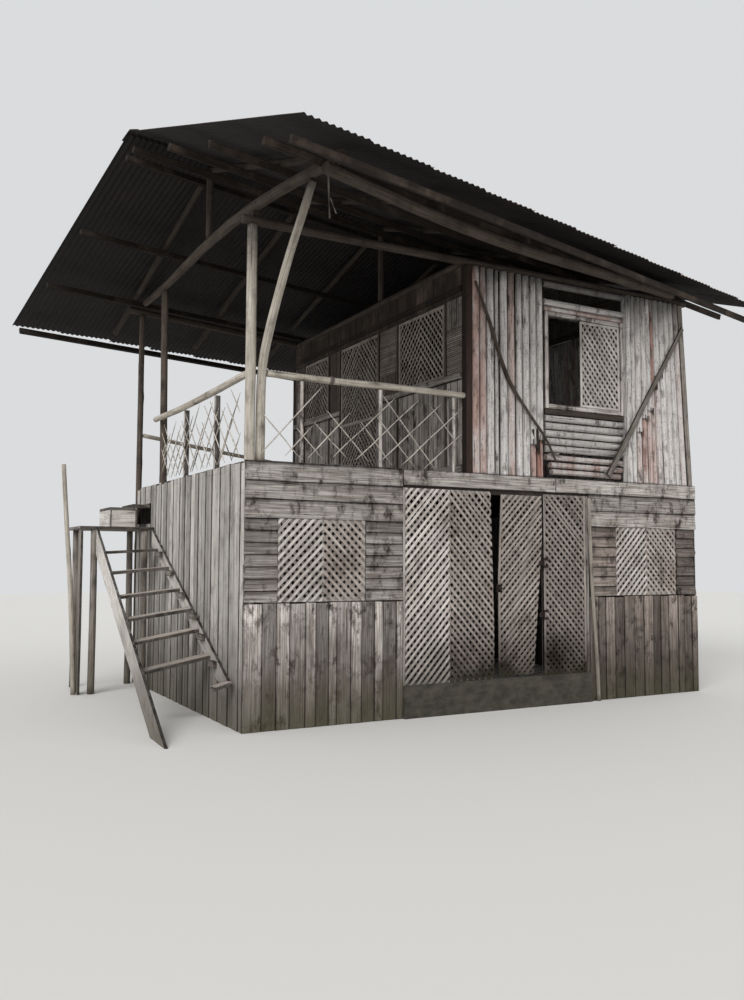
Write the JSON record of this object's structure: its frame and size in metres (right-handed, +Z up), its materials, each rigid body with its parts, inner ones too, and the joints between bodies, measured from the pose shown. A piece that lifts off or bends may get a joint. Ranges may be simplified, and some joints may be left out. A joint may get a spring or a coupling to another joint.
{
  "type": "two-storey stilt house",
  "caption": "Weathered two-storey timber and bamboo house with an open veranda, outside stair, lattice doors and a rusted corrugated gable roof",
  "frame": {"origin": "centre of the front left post's foot, at the lowest ground level", "axes": "X along the front to the right, Y from the front to the rear, Z up"},
  "size_m": [9.4952, 9.4475, 6.566],
  "materials": {
    "grey_boards": "matt, weathered",
    "bamboo": "matt, weathered",
    "round_poles": "matt, weathered",
    "rough_timber": "matt, weathered",
    "dark_timber": "matt, weathered",
    "rusted_sheet": "matt, weathered",
    "hinge_iron": "matt, weathered",
    "sill_concrete": "matt, weathered"
  },
  "bodies": {
    "house": {"front_left_post": "round_poles", "veranda_posts": "round_poles", "leaning_post": "round_poles", "ground_posts": "rough_timber", "door_sill": "sill_concrete", "deck_beams": "rough_timber", "joists": "rough_timber", "deck": "rough_timber", "left_bay_boards": "grey_boards", "left_bay_base": "grey_boards", "left_lattice": "grey_boards", "right_bay_boards": "grey_boards", "right_bay_base": "grey_boards", "right_lattice": "grey_boards", "side_boards": "grey_boards", "right_side_boards": "grey_boards", "rear_boards": "grey_boards", "front_fascia": "grey_boards", "door_lattice_left": "grey_boards", "door_lattice_right": "grey_boards", "door_hinges": "hinge_iron", "door_strip": "grey_boards", "door_prop": "round_poles", "stair_stringers": "rough_timber", "stair_treads": "rough_timber", "stair_cleats": "rough_timber", "landing": "rough_timber", "landing_posts": "round_poles", "landing_plank": "rough_timber", "tall_pole": "round_poles", "upper_steps": "rough_timber", "room_posts": "dark_timber", "front_bamboo_left": "bamboo", "front_bamboo_right": "bamboo", "window_poles": "bamboo", "front_window_frame": "grey_boards", "front_window_sash": "grey_boards", "front_braces": "rough_timber", "side_wall_panel": "grey_boards", "side_lattices": "grey_boards", "side_wall_band": "grey_boards", "right_bamboo": "bamboo", "rear_bamboo": "bamboo", "wall_plates": "round_poles", "outer_beam": "round_poles", "tie_beams": "round_poles", "king_posts": "round_poles", "right_gable": "grey_boards", "rafters": "round_poles", "packing_blocks": "rough_timber", "purlins": "rough_timber", "front_sheets": "rusted_sheet", "rear_sheets": "rusted_sheet", "ridge_cap": "rusted_sheet", "rail_poles": "round_poles", "rail_posts": "grey_boards", "front_sticks": "bamboo", "side_sticks": "bamboo"},
    "door": {"door_leaf": "grey_boards"}
  },
  "joints": [
    {"name": "door_hinge", "type": "hinge", "parent": "house", "child": "door", "pos_m": [3.7997, -0.0846, 0.36], "axis": [0, 0, 1], "range_deg": [0, 100]}
  ]
}
